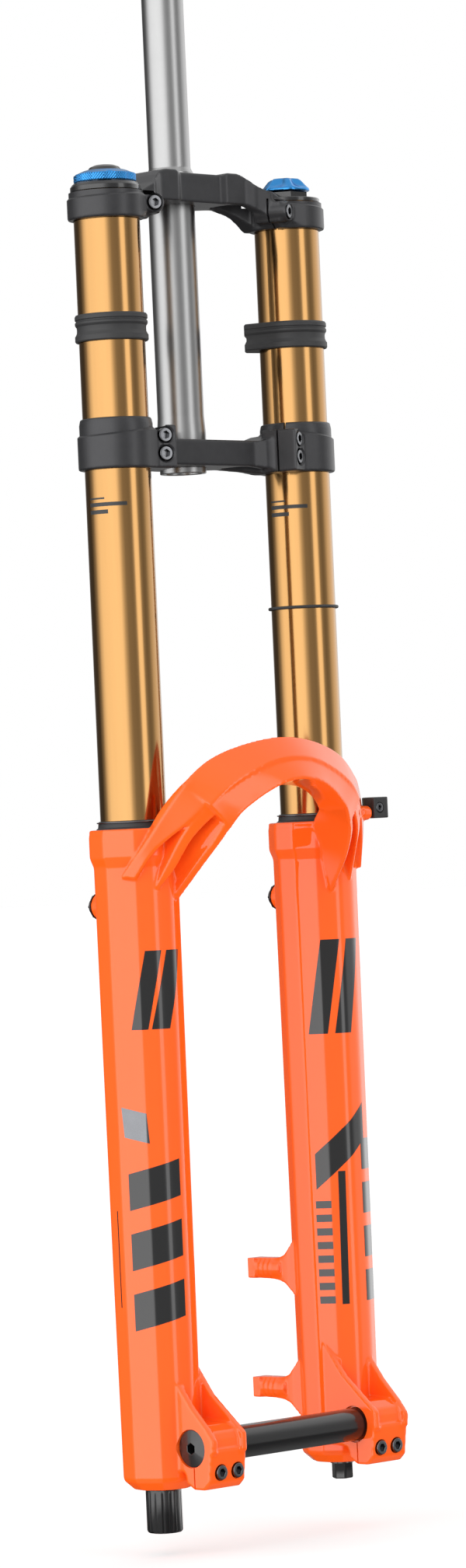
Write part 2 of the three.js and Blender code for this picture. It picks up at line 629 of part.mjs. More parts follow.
// Rubber ring on the left stanchion that shows how far the fork has travelled.
const O_RING_Z = -103;
part('travel_o_ring', 'rubber', onLeg(1, ring(20.3, 21.9, O_RING_Z - 1, O_RING_Z + 1)));

export default group;
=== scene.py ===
import json
from math import acos, asin, atan2, cos, hypot, pi, radians, sin, tan, tau

import bmesh
import bpy
from mathutils import Matrix, Vector


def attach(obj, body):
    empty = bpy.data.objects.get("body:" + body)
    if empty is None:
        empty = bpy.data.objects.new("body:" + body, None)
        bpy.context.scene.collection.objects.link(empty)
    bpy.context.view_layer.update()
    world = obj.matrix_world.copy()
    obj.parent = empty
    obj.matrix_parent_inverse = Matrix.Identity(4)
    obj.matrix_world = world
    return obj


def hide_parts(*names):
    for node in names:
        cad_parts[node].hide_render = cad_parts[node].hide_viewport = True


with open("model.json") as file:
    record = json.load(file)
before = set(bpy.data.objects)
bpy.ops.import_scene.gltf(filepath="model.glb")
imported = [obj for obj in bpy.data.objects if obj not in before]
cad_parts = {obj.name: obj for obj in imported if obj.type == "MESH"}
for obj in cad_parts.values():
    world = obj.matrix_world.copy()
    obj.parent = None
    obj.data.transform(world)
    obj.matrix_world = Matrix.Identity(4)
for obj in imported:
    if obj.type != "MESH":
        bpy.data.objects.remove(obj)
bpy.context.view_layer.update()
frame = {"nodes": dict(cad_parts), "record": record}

MM = 0.001
LEG_X, LEG_Y = 77.0, -22.6
SIDES = {"right": -1, "left": 1}
STANCHION_R = 20.0
STANCHION_TOP, STANCHION_END = 149.0, -405.0
LEG_TOP, COLLAR_H = -235.7, 16.5
LEG_END, LEG_FLOOR, LEG_BORE = -632.0, -618.0, 21.4
AXLE_Y, AXLE_Z, AXLE_R = -56.0, -606.5, 10.0
HUB_HALF, DROPOUT_OUTER = 55.0, 84.7
BLEEDER_Z = -281.7
POST_X, POST_FACE_Y, POST_Z = 60.0, 29.5, (-512.5, -586.7)
PINCH_X, PINCH_Z, PINCH_SEAT_Y = (61.9, 75.6), -620.8, -68.5
HOSE_BOSS = (91.0, -56.0, -232.0)
CROWN_PINCH_TURN = radians(20)
CROWN_SLOT = (53.4, -33.95)
CROWN_PINCH_REACH = 12.2
STEERER_R = 14.3
CASTING_VOXEL, CROWN_VOXEL = ((0.75, 0.7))
FILM_UNDER, FILM_OVER = -0.1, 0.14          # how far a printed mark lies below and above its surface


# ---- mesh helpers --------------------------------------------------------------------------------

def make(name, verts, faces, at=(0, 0, 0), to=None):
    """A mesh object from points in millimetres, its outside facing out. to turns +Z to a direction."""
    bm = bmesh.new()
    turn = Vector((0, 0, 1)).rotation_difference(Vector(to)).to_matrix() if to else Matrix.Identity(3)
    points = [bm.verts.new(turn @ Vector(v) * MM) for v in verts]
    for face in faces:
        if len(set(face)) > 2:
            bm.faces.new([points[i] for i in dict.fromkeys(face)])
    bmesh.ops.remove_doubles(bm, verts=bm.verts, dist=1e-7)
    bmesh.ops.recalc_face_normals(bm, faces=bm.faces)
    mesh = bpy.data.meshes.new(name)
    bm.to_mesh(mesh)
    bm.free()
    ob = bpy.data.objects.new(name, mesh)
    bpy.context.collection.objects.link(ob)
    ob.location = Vector(at) * MM
    return ob


def merged(name, objects):
    """One object holding the meshes of several, each where it stands."""
    bm = bmesh.new()
    for ob in objects:
        mesh = ob.data.copy()
        mesh.transform(Matrix.Translation(ob.location))
        bm.from_mesh(mesh)
        bpy.data.meshes.remove(mesh)
        bpy.data.objects.remove(ob)
    mesh = bpy.data.meshes.new(name)
    bm.to_mesh(mesh)
    bm.free()
    ob = bpy.data.objects.new(name, mesh)
    bpy.context.collection.objects.link(ob)
    return ob


def applied(ob):
    """Turns an object's modifiers into its mesh."""
    graph = bpy.context.evaluated_depsgraph_get()
    mesh = bpy.data.meshes.new_from_object(ob.evaluated_get(graph))
    ob.modifiers.clear()
    old, ob.data = ob.data, mesh
    bpy.data.meshes.remove(old)
    return ob


def boolean(ob, tool, operation="DIFFERENCE"):
    mod = ob.modifiers.new("boolean", "BOOLEAN")
    mod.operation, mod.object, mod.solver = operation, tool, "MANIFOLD"
    applied(ob)
    bpy.data.objects.remove(tool)
    return ob


def cast(ob, voxel, rounds):
    """Melts overlapping solids into one skin with soft edges, as a casting or forging has."""
    mod = ob.modifiers.new("remesh", "REMESH")
    mod.mode, mod.voxel_size = "VOXEL", voxel * MM
    mod = ob.modifiers.new("smooth", "SMOOTH")
    mod.factor, mod.iterations = 0.5, rounds
    return applied(ob)


def shade(ob, angle=32):
    for poly in ob.data.polygons:
        poly.use_smooth = True
    ob.data.set_sharp_from_angle(angle=radians(angle))
    return ob


def softened(profile, radius=0.5, steps=4, closed=False):
    """A profile with its corners rounded. A point may carry its own radius as a third number."""
    out = []
    n = len(profile)
    for i, point in enumerate(profile):
        here = Vector(point[:2])
        if not closed and i in (0, n - 1):
            out.append(tuple(here))
            continue
        r = point[2] if len(point) > 2 else radius
        back, on = Vector(profile[i - 1][:2]) - here, Vector(profile[(i + 1) % n][:2]) - here
        half = back.angle(on) / 2
        if r <= 0 or half > radians(88):
            out.append(tuple(here))
            continue
        reach = min(r / tan(half), back.length * 0.48, on.length * 0.48)
        start, end = here + back.normalized() * reach, here + on.normalized() * reach
        for k in range(steps + 1):
            t = k / steps
            out.append(tuple((1 - t) ** 2 * start + 2 * t * (1 - t) * here + t * t * end))
    return out


def turned(name, rows, segs=96, at=(0, 0, 0), to=None, closed=False):
    """A body round +Z. Each row is (radius, z), and either may be a function of the angle."""
    verts, faces, rings = [], [], []
    for r, z in rows:
        if not callable(r) and abs(r) < 1e-6:
            rings.append([len(verts)])
            verts.append((0, 0, z))
            continue
        rings.append(list(range(len(verts), len(verts) + segs)))
        for i in range(segs):
            a = tau * i / segs
            q = r(a) if callable(r) else r
            verts.append((q * cos(a), q * sin(a), z(a) if callable(z) else z))
    pairs = list(zip(rings, rings[1:])) + ([(rings[-1], rings[0])] if closed else [])
    for low, high in pairs:
        for i in range(segs):
            j = (i + 1) % segs
            faces.append([low[i % len(low)], low[j % len(low)], high[j % len(high)], high[i % len(high)]])
    if not closed:
        faces += [ring[::-1] for ring in (rings[0], rings[-1]) if len(ring) > 1]
    return make(name, verts, faces, at, to)


def lathe(name, profile, radius=0.4, segs=96, at=(0, 0, 0), to=None, closed=False):
    return turned(name, softened(profile, radius, closed=closed), segs, at, to, closed)


def tube(name, inner, outer, low, high, radius=0.4, segs=96, at=(0, 0, 0), to=None):
    return lathe(name, [(inner, low), (outer, low), (outer, high), (inner, high)], radius, segs, at, to, True)


def rod(radius, low, high, at=(0, 0, 0), to=None, segs=64):
    return turned("rod", [(0, low), (radius, low), (radius, high), (0, high)], segs, at, to)


def loft(name, stations):
    n = len(stations[0])
    verts = [p for station in stations for p in station]
    faces = [[s * n + i, s * n + (i + 1) % n, (s + 1) * n + (i + 1) % n, (s + 1) * n + i]
             for s in range(len(stations) - 1) for i in range(n)]
    faces += [list(range(n)), list(range(len(verts) - n, len(verts)))]
    return make(name, verts, faces)


def ring_softened(points, radius, steps=3):
    """A closed ring of points in space with its corners rounded."""
    out = []
    ring = [Vector(p) for p in points]
    for i, here in enumerate(ring):
        back, on = ring[i - 1] - here, ring[(i + 1) % len(ring)] - here
        half = max(back.angle(on) / 2, 0.05)
        reach = [min(radius / tan(half), side.length * 0.42) for side in (back, on)]
        start, end = here + back.normalized() * reach[0], here + on.normalized() * reach[1]
        for k in range(steps + 1):
            t = k / steps
            out.append(tuple((1 - t) ** 2 * start + 2 * t * (1 - t) * here + t * t * end))
    return out


def prism(outline, low, high, put=lambda a, b, c: (a, b, c)):
    """An outline pushed from low to high; put says which way it lies."""
    return loft("prism", [[put(a, b, c) for a, b in outline] for c in (low, high)])


def box(x0, x1, y0, y1, z0, z1):
    return prism([(x0, y0), (x1, y0), (x1, y1), (x0, y1)], z0, z1)


def through(points, steps):
    """A smooth line through some points, with a number of steps between each pair."""
    out = []
    pts = [Vector(p) for p in points]
    pts = [2 * pts[0] - pts[1]] + pts + [2 * pts[-1] - pts[-2]]
    for a, b, c, d in zip(pts, pts[1:], pts[2:], pts[3:]):
        for k in range(steps):
            t = k / steps
            out.append(0.5 * (2 * b + (c - a) * t + (2 * a - 5 * b + 4 * c - d) * t * t
                              + (3 * b - a - 3 * c + d) * t ** 3))
    out.append(pts[-2])
    return [tuple(p) for p in out]


def swept(name, lines, steps, radius=1.0):
    """A loft whose corners run smoothly through the given lines of points, each corner rounded."""
    smooth = [through(line, steps) for line in lines]
    return loft(name, [ring_softened(station, radius) for station in zip(*smooth)])


def sided(side, points):
    return [(side * p[0], *p[1:]) for p in points]


def hexagon(across_flats, turn=0.0):
    """The radius of a hexagon at an angle."""
    return lambda a: across_flats / 2 / cos((a + turn) % (pi / 3) - pi / 6)


def cap_screw(name, at, to, head_r, head_h, shank_r, length, socket):
    """A socket-head screw along a direction, with the outer face of its head at the point given."""
    flats = hexagon(socket)
    rows = [(0, -length), (shank_r, -length), (shank_r, -head_h)]
    rows += softened([(shank_r, -head_h), (head_r, -head_h), (head_r, 0), (socket * 0.66, 0)], 0.45)
    rows += [(lambda a: flats(a) + 0.15, 0), (flats, -0.2), (flats, -head_h * 0.62), (0, -head_h * 0.66)]
    return turned(name, rows, 48, at, to)


# ---- materials -----------------------------------------------------------------------------------

def srgb(r, g, b):
    return tuple((c / 255 / 12.92) if c <= 10 else ((c / 255 + 0.055) / 1.055) ** 2.4 for c in (r, g, b))


def node(tree, kind, **sockets):
    made = tree.nodes.new(kind)
    for key, value in sockets.items():
        made.inputs[key.replace("_", " ")].default_value = value
    return made


def finish_of(name, colour, rough, metal=0.0, grain=400.0, stretch=(1, 1, 1), tint=0.12, bump=0.05,
              depth=0.02, spread=0.08, coat=0.0, coat_rough=0.05, specular=0.5):
    """A surface whose colour, gloss and bump all vary a little with a fine and a coarse grain."""
    mat = bpy.data.materials.new(name)
    mat.use_nodes = True
    tree = mat.node_tree
    shader = tree.nodes["Principled BSDF"]
    shader.inputs["Metallic"].default_value = metal
    shader.inputs["Coat Weight"].default_value = coat
    shader.inputs["Coat Roughness"].default_value = coat_rough
    shader.inputs["Specular IOR Level"].default_value = specular
    where = tree.nodes.new("ShaderNodeTexCoord")
    scale = tree.nodes.new("ShaderNodeMapping")
    scale.inputs["Scale"].default_value = stretch
    tree.links.new(where.outputs["Object"], scale.inputs["Vector"])
    fine = node(tree, "ShaderNodeTexNoise", Scale=grain, Detail=4.0, Roughness=0.55)
    broad = node(tree, "ShaderNodeTexNoise", Scale=grain / 14, Detail=2.0)
    for noise in (fine, broad):
        tree.links.new(scale.outputs["Vector"], noise.inputs["Vector"])
    mixed = tree.nodes.new("ShaderNodeMath")
    mixed.operation = "MULTIPLY_ADD"
    mixed.inputs[1].default_value = 0.5
    half = tree.nodes.new("ShaderNodeMath")
    half.operation = "MULTIPLY"
    half.inputs[1].default_value = 0.5
    tree.links.new(broad.outputs["Fac"], half.inputs[0])
    tree.links.new(fine.outputs["Fac"], mixed.inputs[0])
    tree.links.new(half.outputs[0], mixed.inputs[2])
    ramp = tree.nodes.new("ShaderNodeValToRGB")
    dark = [c * (1 - tint) for c in colour]
    light = [min(1.0, c * (1 + tint)) for c in colour]
    ramp.color_ramp.elements[0].position, ramp.color_ramp.elements[1].position = 0.3, 0.7
    ramp.color_ramp.elements[0].color = (*dark, 1)
    ramp.color_ramp.elements[1].color = (*light, 1)
    tree.links.new(mixed.outputs[0], ramp.inputs["Fac"])
    tree.links.new(ramp.outputs["Color"], shader.inputs["Base Color"])
    gloss = tree.nodes.new("ShaderNodeMapRange")
    gloss.inputs["To Min"].default_value = max(0.02, rough - spread)
    gloss.inputs["To Max"].default_value = rough + spread
    tree.links.new(mixed.outputs[0], gloss.inputs["Value"])
    tree.links.new(gloss.outputs["Result"], shader.inputs["Roughness"])
    if bump:
        relief = node(tree, "ShaderNodeBump", Strength=bump, Distance=depth * MM)
        tree.links.new(fine.outputs["Fac"], relief.inputs["Height"])
        tree.links.new(relief.outputs["Normal"], shader.inputs["Normal"])
        if coat:
            tree.links.new(relief.outputs["Normal"], shader.inputs["Coat Normal"])
    return mat


LOOK = {
    "orange_paint": finish_of("orange_paint", (1.0, 0.120, 0.011), 0.34, grain=900, tint=0.02, bump=0.015,
                              depth=0.01, spread=0.03, coat=1.0, coat_rough=0.03, specular=0.0),
    "gold_anodised": finish_of("gold_anodised", (0.40, 0.222, 0.083), 0.15, 1.0, grain=700,
                               stretch=(1, 1, 0.02), tint=0.03, bump=0.02, depth=0.004, spread=0.02),
    "black_anodised": finish_of("black_anodised", srgb(52, 52, 54), 0.36, 0.35, grain=2600, tint=0.12,
                                bump=0.10, depth=0.01, spread=0.05),
    "brushed_alloy": finish_of("brushed_alloy", (0.33, 0.33, 0.33), 0.32, 1.0, grain=3200,
                               stretch=(1, 1, 0.6), tint=0.03, bump=0.05, depth=0.008, spread=0.02),
    "blue_anodised": finish_of("blue_anodised", srgb(58, 136, 200), 0.24, 0.95, grain=1200, tint=0.05,
                               bump=0.02, depth=0.005, spread=0.04),
    "gloss_black": finish_of("gloss_black", srgb(22, 22, 23), 0.3, 0.0, grain=900, tint=0.08, bump=0.02,
                             depth=0.005, spread=0.03, coat=1.0, coat_rough=0.06, specular=0.2),
    "rubber": finish_of("rubber", srgb(44, 44, 45), 0.55, grain=2200, tint=0.1, bump=0.25, depth=0.02,
                        spread=0.06),
    "steel": finish_of("steel", srgb(112, 113, 116), 0.2, 1.0, grain=1400, tint=0.08, bump=0.04,
                       depth=0.006, spread=0.05),
    "plain_alloy": finish_of("plain_alloy", srgb(200, 202, 204), 0.3, 1.0, grain=1200,
                             stretch=(1, 1, 0.1), tint=0.05, bump=0.05, depth=0.01, spread=0.05),
    "brass": finish_of("brass", srgb(206, 172, 96), 0.28, 1.0, grain=1200, tint=0.05, bump=0.04,
                       depth=0.006, spread=0.04),
    "foam": finish_of("foam", srgb(58, 58, 60), 0.95, grain=1500, tint=0.4, bump=0.8, depth=0.2),
    "black_plastic": finish_of("black_plastic", srgb(38, 38, 39), 0.42, grain=1800, tint=0.1, bump=0.2,
                               depth=0.012, spread=0.05),
}


def keep(ob, slot, body, *nodes, angle=32):
    """Gives a piece its finish and shading, sets it on its body and lets it stand for its CAD nodes."""
    shade(ob, angle)
    ob.data.materials.clear()
    ob.data.materials.append(LOOK[slot])
    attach(ob, body)
    if nodes:
        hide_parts(*nodes)
    return ob


# ---- lower-leg casting ---------------------------------------------------------------------------

# Facets of the leg as directions round its axis in degrees and distances; 0 faces the wheel and 270
# the front, on the right leg.
LEG_FACETS = ((0, 24.6), (30, 24.8), (65, 25), (100, 24.6), (135, 25), (168, 24.8), (205, 24.2),
              (240, 24.8), (252, 25.08), (265, 24.8), (283, 25.38), (298, 24.8), (330, 24.8))
FACET_POWER = 120


def leg_radius(angle):
    """The leg's section: flat facets that roll into each other."""
    total = sum(max(0.0, cos(angle - radians(a))) ** FACET_POWER / d ** FACET_POWER for a, d in LEG_FACETS)
    return total ** (-1 / FACET_POWER)


LEG_SCALE = ((-238, 1.0), (-257, 1.0), (-520, 0.965), (-624.5, 0.94), (-626.5, 0.915), (-632, 0.68))


def leg_scale(z):
    """How much of its full section the leg has at a height: it tapers, then rounds off at the foot."""
    for (z0, s0), (z1, s1) in zip(LEG_SCALE, LEG_SCALE[1:]):
        if z >= z1:
            return s0 + (s1 - s0) * (z - z0) / (z1 - z0)
    return LEG_SCALE[-1][1]


def leg(side):
    """The shank, the wider collar round the seal and the boss of the bleeder."""
    heights = [-238, -257] + [-257 - k * 20 for k in range(1, 19)] + [-624.5, -626.5, -629, -632]
    ring = [radians(i * 2.5) for i in range(144)]
    shank = loft("leg", [[(side * (leg_scale(z) * leg_radius(a) * cos(a) - LEG_X),
                           leg_scale(z) * leg_radius(a) * sin(a) + LEG_Y, z) for a in ring] for z in heights])
    rim = [(1.062, LEG_TOP), (1.072, LEG_TOP - 0.8), (1.072, LEG_TOP - 3), (1.088, LEG_TOP - 4),
           (1.088, LEG_TOP - COLLAR_H), (1.07, LEG_TOP - COLLAR_H - 1.6), (1.01, LEG_TOP - COLLAR_H - 5.5),
           (0.97, LEG_TOP - COLLAR_H - 12)]
    collar = loft("collar", [[(side * (s * leg_radius(a) * cos(a) - LEG_X),
                               s * leg_radius(a) * sin(a) + LEG_Y, z) for a in ring] for s, z in rim])
    boss = turned("boss", [(0, 0), (10.4, 0), (9.2, 4), (8.6, 7), (8.2, 12.2), (7.8, 12.6), (0, 12.6)], 64,
                  (side * LEG_X, LEG_Y + 20, BLEEDER_Z), (0, 1, 0))
    return [shank, collar, boss]


# The arch: its top edge, ridge, the shelf under it, lower front edge and lower back edge, from the
# middle outwards.
ARCH = (
    ((0, -76, -183.1), (22, -74.8, -185.2), (42.5, -71.5, -190.1), (57, -68.6, -196), (67, -66, -202.9),
     (75, -63.5, -210.4)),
    ((0, -87, -196.5), (18, -86.5, -198.5), (35, -84.8, -204.5), (48, -82.5, -211), (57, -80, -217),
     (65, -76, -224)),
    ((0, -86.6, -198.5), (17.5, -85.9, -200.4), (34.2, -84.2, -206.3), (47.1, -81.8, -212.6),
     (56.1, -79.7, -218.4), (64.2, -76.2, -225.1)),
    ((0, -94, -210), (14, -93, -212), (26, -90.5, -217), (36, -87.3, -223), (45, -83.7, -230),
     (51, -79.5, -239)),
    ((0, -69, -213.5), (16, -66, -214), (30, -60, -216), (41, -55, -219), (49, -52, -223.5),
     (55, -50, -230)),
)
# Three ribs carry each end into the leg: an outer strap, the ridge and an inner one. Each has two
# edge lines and the distance of its foot from the leg's axis.
RIBS = (
    (((67, -67.5, -205.9), (75, -64.5, -212.6), (84, -58.5, -226), (93.3, -50.2, -243),
      (102.5, -35.5, -264.5)),
     ((57, -78, -216.5), (65, -74.8, -224), (74.5, -67.3, -235), (88, -54, -249), (97.2, -43.3, -266)),
     (42, 37, 28, 22, 22)),
    (((59, -78.6, -216), (74, -66.5, -236), (80.5, -55, -256), (84.5, -47, -271)),
     ((53, -79.6, -224), (69.5, -68, -242), (76.5, -57, -261), (82, -47.4, -273)), (33, 24, 22, 22)),
    (((46, -82, -222), (56.5, -77, -238), (62, -66, -256), (66.5, -47, -277)),
     ((44.5, -83, -229.5), (54.3, -76.4, -244.5), (60.5, -65, -259.5), (65, -47, -279.5)), (36, 24, 22, 22)),
)
# The inner web closes the pockets on the wheel side: its front edge, and where it meets the leg.
WEB = (
    ((37, -86, -222), (46, -82.5, -230.5), (54, -76.6, -244), (60.3, -65.4, -259.5), (65, -47, -279.5)),
    ((41, -85, -221), (50, -81.5, -229), (58, -74.6, -242), (64.3, -63.4, -257.5), (69, -46, -277.5)),
    ((45, -55, -218), (56, -52, -226), (60, -42, -237), (65, -40, -252), (68, -36, -270)),
    ((41, -57, -219), (52, -53, -227), (56, -43, -237), (61, -41, -252), (64, -38, -270)),
)


def arch():
    """The arch from leg to leg, mirrored about the middle."""
    lines = [sided(-1, line[:0:-1]) + list(line) for line in ARCH]
    return swept("arch", lines, 8, 0.9)


def foot(point, distance):
    """The point moved to a distance from the leg's axis, at its own height."""
    away = Vector((point[0] - LEG_X, point[1] - LEG_Y)).normalized() * distance
    return (LEG_X + away.x, LEG_Y + away.y, point[2])


def ribs(side):
    """The three ribs and the web that tie one end of the arch to its leg."""
    made = []
    for upper, lower, reach in RIBS:
        lines = [upper, lower, [foot(p, d) for p, d in zip(lower, reach)],
                 [foot(p, d) for p, d in zip(upper, reach)]]
        made.append(swept("rib", [sided(side, line) for line in lines], 8, 1.2))
    made.append(swept("web", [sided(side, line) for line in WEB], 8, 1.0))
    return made


def side_plate(outline, x0, x1, radius=0.0):
    """A plate seen from the side: an outline in y and z, from x0 to x1."""
    outline = softened(outline, radius, 5, True) if radius else outline
    return prism(outline, x0, x1, lambda y, z, x: (x, y, z))


def dropout(side):
    """The axle clamp and the two cheeks that sweep up from it into the leg."""
    clamp = side_plate(
        [(-34, -592), (-63, -592.8, 3), (-69.4, -597, 3), (-71.6, -602, 3), (-71.4, -606, 0.6),
         (-73, -607, 0.6), (-70.5, -627, 3), (-66, -631, 2.5), (-57, -631, 2), (-51, -627.5, 2),
         (-49.5, -621, 3), (-34, -618)],
        side * HUB_HALF, side * DROPOUT_OUTER, 2)
    outer = side_plate(
        [(-34, -561), (-43.5, -565.5, 10), (-56, -581.5, 20), (-68.5, -594, 8), (-74.5, -601.5, 4),
         (-74, -610, 2), (-34, -610)],
        side * DROPOUT_OUTER, side * (DROPOUT_OUTER - 4.6), 2)
    inner = side_plate(
        [(-26, -548), (-36, -561.5, 12), (-48, -577, 20), (-63, -589.5, 10), (-74, -598.5, 4),
         (-74, -610, 2), (-26, -610)],
        side * HUB_HALF, side * (HUB_HALF + 4.6), 2)
    return [clamp, outer, inner]


def brake_tab(z):
    """A tab on the back of the left leg with a ribbed half-round boss and a square machined face."""
    flare = loft("flare", [[(POST_X - a, y, z - b), (POST_X + c, y, z - b), (POST_X + c, y, z + d),
                            (POST_X - a, y, z + d)] for y, a, b, c, d in (
        (20, 2.6, 6.2, 3.5, 6.2), (12, 2.8, 6.6, 4.5, 6.4), (5, 3.6, 7.4, 7, 6.9), (0, 4.2, 8.8, 11, 8.4),
        (-4, 4.2, 12, 16, 12.5), (-7, 3.4, 16, 18, 17), (-14, 2, 18, 20, 20))])
    web = side_plate([(POST_FACE_Y, z + 6.3), (2, z + 6.6), (2, z - 6.6), (POST_FACE_Y, z - 6.3)],
                     POST_X - 3.2, POST_X + 5.5)
    boss = rod(6.2, -22, 0, (POST_X, POST_FACE_Y - 5, z), (0, 1, 0))
    face = box(POST_X - 6, POST_X + 6, POST_FACE_Y - 6, POST_FACE_Y + 1, z - 6.3, z + 6.3)
    rings = [rod(6.7, -k - 0.8, -k, (POST_X, POST_FACE_Y - 7, z), (0, 1, 0)) for k in (3, 7, 11)]
    return [flare, web, boss, face] + rings


def leg_cuts():
    """Groups of cutting tools; the tools within a group don't touch each other."""
    groups = [[], [], [], [], [], []]
    for side in SIDES.values():
        axis = (side * LEG_X, LEG_Y, 0)
        groups[0] += [turned("bore", [(0, LEG_FLOOR), (LEG_BORE, LEG_FLOOR), (LEG_BORE, LEG_TOP - 9),
                                      (23.4, LEG_TOP - 9), (23.4, LEG_TOP - 0.7), (24.2, LEG_TOP + 0.1),
                                      (24.2, LEG_TOP + 4), (0, LEG_TOP + 4)], 96, axis)]
        groups[1] += [rod(5.4, LEG_END - 5, LEG_FLOOR + 1, axis),
                      turned("bore", [(0, HUB_HALF - 5), (11.3, HUB_HALF - 5), (11.3, HUB_HALF + 2),
                                      (AXLE_R + 0.3, HUB_HALF + 2), (AXLE_R + 0.3, DROPOUT_OUTER - 1.8),
                                      (11.6, DROPOUT_OUTER - 1.8), (11.6, 110), (0, 110)], 96,
                             (0, AXLE_Y, AXLE_Z), (side, 0, 0))]
        x0, x1 = sorted((side * (HUB_HALF - 1), side * (DROPOUT_OUTER + 1)))
        groups[2] += [box(x0, x1, -58.4, -57.4, -640, AXLE_Z)]
        groups[3] += [turned("seat", [(0, -18), (2.6, -18), (2.6, 0), (5, 0), (5, 20), (0, 20)], 48,
                             (side * x, PINCH_SEAT_Y, PINCH_Z), (0, -1, 0)) for x in PINCH_X]
        groups[4] += [rod(4.2, -12, 12, (side * LEG_X, LEG_Y + 25, BLEEDER_Z), (0, 1, 0), 48)]
    groups[5] += [turned("thread", [(0, -18), (2.6, -18), (2.6, -0.6), (3.3, 0), (3.3, 1), (0, 1)], 48,
                         (POST_X, POST_FACE_Y, z), (0, 1, 0)) for z in POST_Z]
    return groups


def build_casting():
    """Both legs, their arch, ribs, dropouts and tabs melted together, then bored and cut."""
    solids = [arch()]
    for side in SIDES.values():
        solids += leg(side) + ribs(side) + dropout(side)
    for z in POST_Z:
        solids += brake_tab(z)
    x, y, z = HOSE_BOSS
    solids.append(rod(4.5, -8, 0, HOSE_BOSS, (1, 0.1, 0)))
    casting = cast(merged("leg_casting", solids), CASTING_VOXEL, 5)
    boolean(casting, box(40, 80, POST_FACE_Y, POST_FACE_Y + 6, -610, -490))
    for tools in leg_cuts():
        boolean(casting, merged("tools", tools))
    return casting


keep(build_casting(), "orange_paint", "lowers", "lower_legs", angle=38)


# ---- crowns --------------------------------------------------------------------------------------

CLAMP_R = 23.6
CROWN_PLAN = ((0, -28.5), (34, -28.5), (43, -31), (50, -38), (77, -38), (77, -6), (60, -4.5), (48, -3),
              (32, 6), (23, 15), (13, 22), (0, 24))


def both_halves(half):
    """A half outline from the middle round, with its mirror image added."""
    mirror = [(-a, b) for a, b in half if a > 0]
    return list(half) + mirror[::-1]


def crown_blank(elevation, plan=CROWN_PLAN):
    """The solid a crown is cut from: its plan and its front view, crossed."""
    across = prism(both_halves(plan), -60, 200)
    front = prism(both_halves(elevation), -60, 60, lambda x, z, y: (x, y, z))
    return boolean(across, front, "INTERSECT")


UPPER_PLAN = ((0, -26.4), (17, -26.4), (20.6, -28.7), (36, -28.7), (43, -31.5)) + CROWN_PLAN[3:]


def at_slot(ob, side):
    """Puts a solid made round the slot point, with -Y along the pinch bolt, into its place."""
    ob.data.transform(Matrix.Translation((CROWN_SLOT[0] * MM, CROWN_SLOT[1] * MM, 0))
                      @ Matrix.Rotation(CROWN_PINCH_TURN, 4, "Z"))
    if side < 0:
        ob.data.transform(Matrix.Diagonal((-1, 1, 1, 1)))
        ob.data.flip_normals()
    return ob


def ear_blend(reach, low, high):
    """A facet from the bolt's seat, tangent to the clamp's outside."""
    turn = Matrix.Rotation(-CROWN_PINCH_TURN, 2)
    axis = turn @ Vector((LEG_X - CROWN_SLOT[0], LEG_Y - CROWN_SLOT[1]))
    start = Vector((5.2, -reach))
    line = axis - start
    spread = asin(CLAMP_R / line.length)
    touch = start + Matrix.Rotation(-spread, 2) @ line.normalized() * line.length * cos(spread)
    return prism([tuple(start), tuple(touch), tuple(axis), (5.2, 0)], low, high)


def slant(low, high, inner, top, side):
    """A tool that trims the outside of a clamp above a tilted line, higher towards the steerer."""
    edge = lambda a: (low + high) / 2 - (high - low) / 2 * side * cos(a)
    below = lambda a: edge(a) - 1.8
    return turned("slant", [(inner, edge), (24.2, below), (30, below), (30, top), (inner, top)], 96,
                  (side * LEG_X, LEG_Y, 0), None, True)


def bolt_line(profile, z):
    """A turned tool along the pinch bolt: distances from the slot, outwards positive."""
    ob = turned("line", profile, 64, (0, 0, 0), (0, -1, 0))
    ob.data.transform(Matrix.Translation((0, 0, z * MM)))
    return ob


def build_crown(name, blank, clamps, pockets, cuts):
    """Melts a crown's blank and clamps together, opens the pockets under its arms, then machines it."""
    crown = merged(name, [blank] + clamps)
    crown = cast(crown, CROWN_VOXEL, 1)
    boolean(crown, merged("tools", pockets))
    cast(crown, CROWN_VOXEL, 6)
    for tools in cuts:
        boolean(crown, merged("tools", tools))
    return crown


def crown_cuts(low, high, heights, bolt_seat):
    """Groups of tools for the stanchion bores, the pinch slots and the bolt holes."""
    slots, holes, bores = [], [], []
    for side in SIDES.values():
        slots.append(at_slot(box(-26, 8, -0.6, 0.6, low - 1, high + 1), side))
        holes += [at_slot(bolt_line([(0, -10), (2.8, -10), (2.8, bolt_seat), (4.9, bolt_seat),
                                     (4.9, bolt_seat + 4.4), (6, bolt_seat + 5.4), (6, 24), (0, 24)],
                                    z), side) for z in heights]
        bores.append(rod(STANCHION_R + 0.25, low - 2, high + 8, (side * LEG_X, LEG_Y, 0), None, 128))
    return [bores, slots, holes]


ARM_POCKET = ((27, -22), (40, -24), (52, -24), (54, -16), (44, -8), (32, -1), (26, -8))


